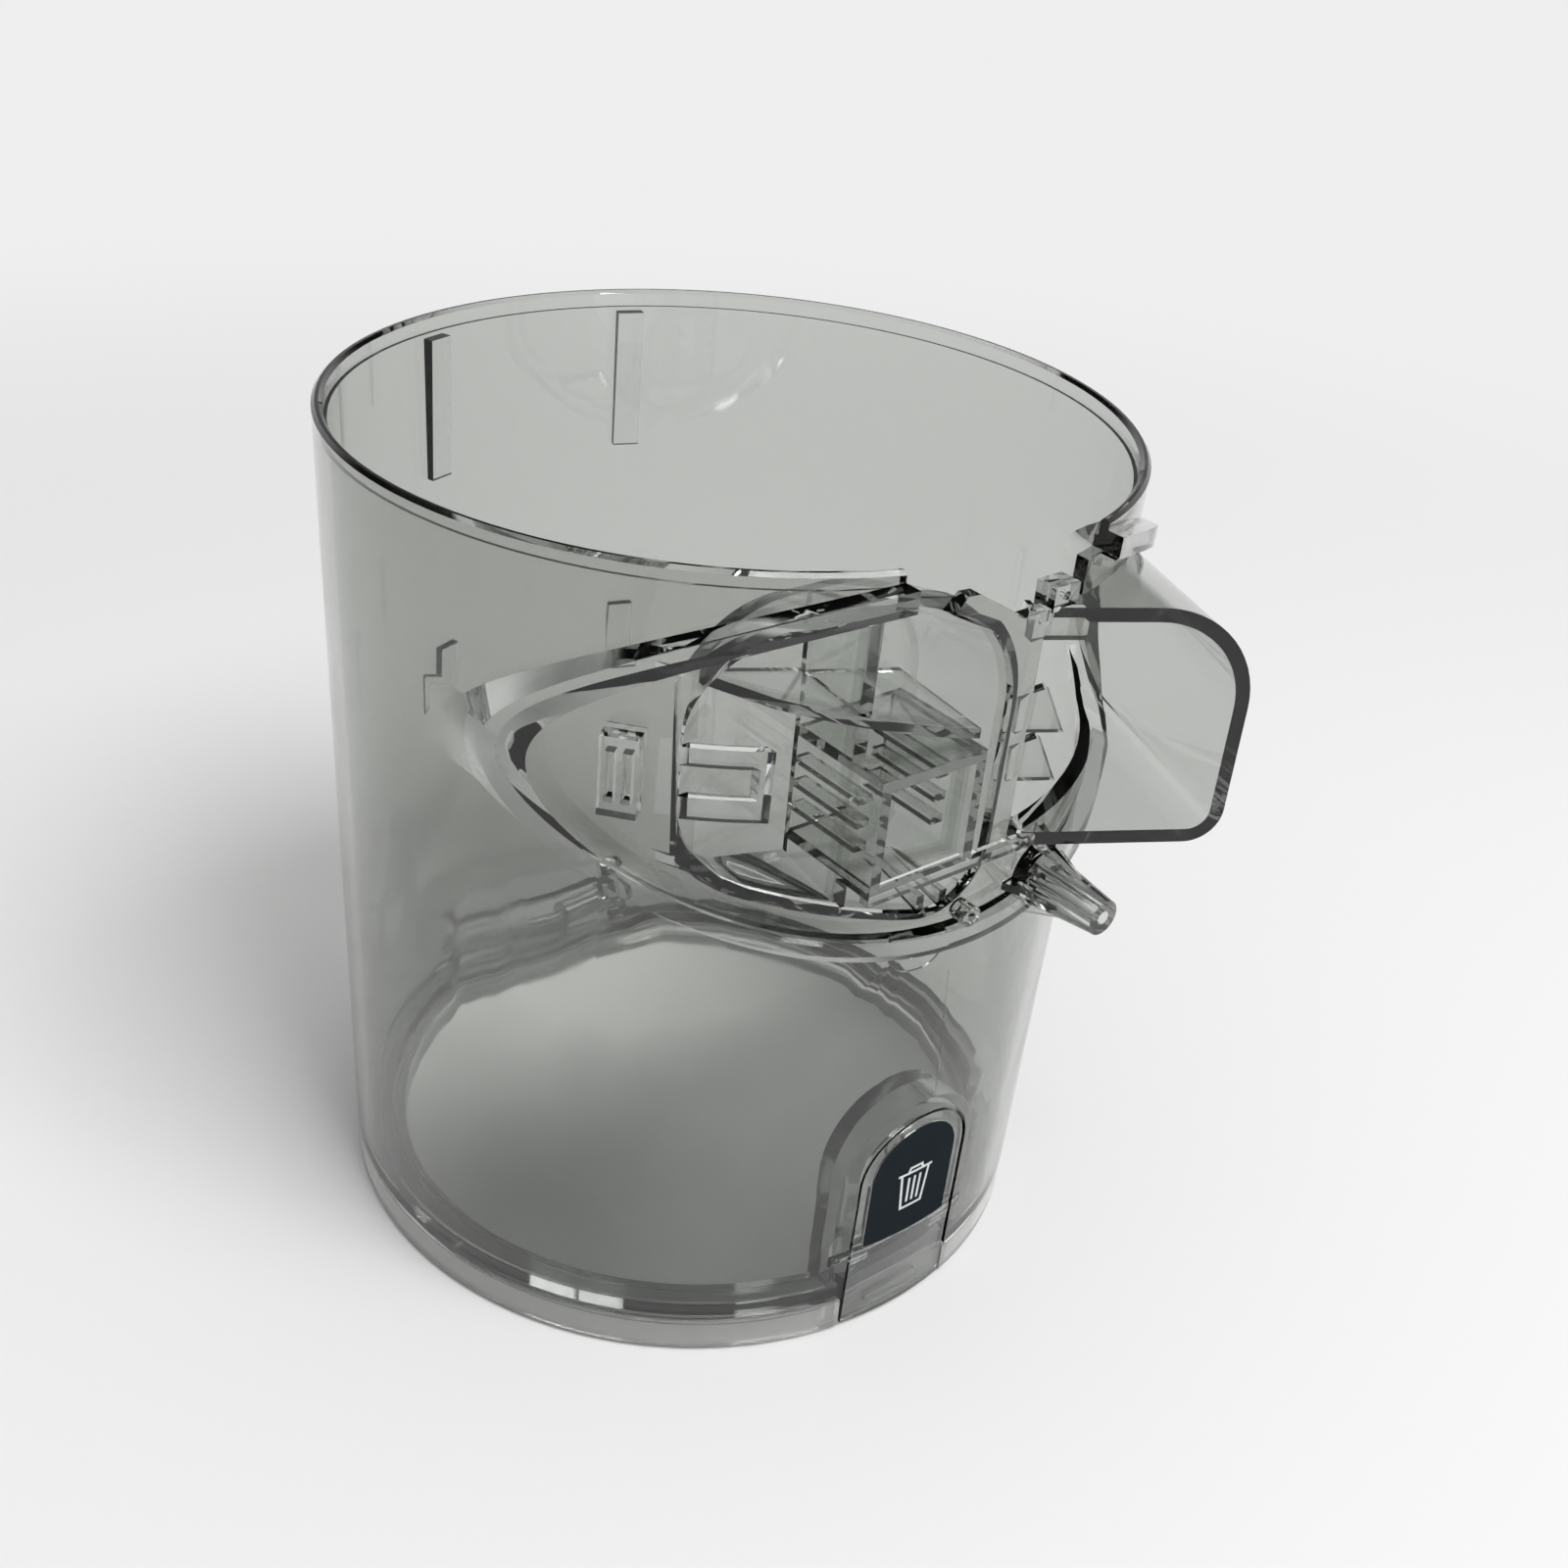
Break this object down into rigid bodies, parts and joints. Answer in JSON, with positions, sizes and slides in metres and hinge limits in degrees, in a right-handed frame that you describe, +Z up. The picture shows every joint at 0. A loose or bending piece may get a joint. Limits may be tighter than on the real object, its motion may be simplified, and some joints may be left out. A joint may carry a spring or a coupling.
{
  "type": "cyclone dust bin",
  "caption": "Clear tapered dust bin of a cordless vacuum, with an oval docking collar, a tangential inlet duct and a latched bottom lid on a rear hinge.",
  "frame": {"origin": "on the cup's axis in the plane of the flat base, under the centre of the lid's floor", "axes": "+Z up along the cup's axis, -Y towards the latch and the docking collar, +Y towards the lid's hinge, +X to the right seen from the front"},
  "size_m": [0.116, 0.1292, 0.1267],
  "materials": {
    "clear_plastic": "clear smoky polycarbonate, polished mould",
    "seal_silicone": "translucent grey silicone",
    "pin_steel": "drawn wire, bright",
    "spring_steel": "spring wire, bright",
    "panel_plastic": "dark navy, fine satin texture"
  },
  "bodies": {
    "cup": {"bin_cup": "clear_plastic", "hinge_pin": "pin_steel", "latch_pin": "pin_steel", "latch_spring": "spring_steel"},
    "lid": {"bottom_lid": "clear_plastic", "lid_seal": "seal_silicone"},
    "latch": {"latch_lever": "clear_plastic", "latch_panel": "panel_plastic"}
  },
  "joints": [
    {"name": "lid_hinge", "type": "hinge", "parent": "cup", "child": "lid", "pos_m": [0, 0.0503, 0.0105], "axis": [1, 0, 0], "range_deg": [0, 95]},
    {"name": "latch_pivot", "type": "hinge", "parent": "cup", "child": "latch", "pos_m": [0, -0.0522, 0.014], "axis": [-1, 0, 0], "range_deg": [0, 7], "stiffness_Nm_per_rad": 0.15, "springref_deg": -2.86, "deforming": ["latch_spring"]}
  ]
}
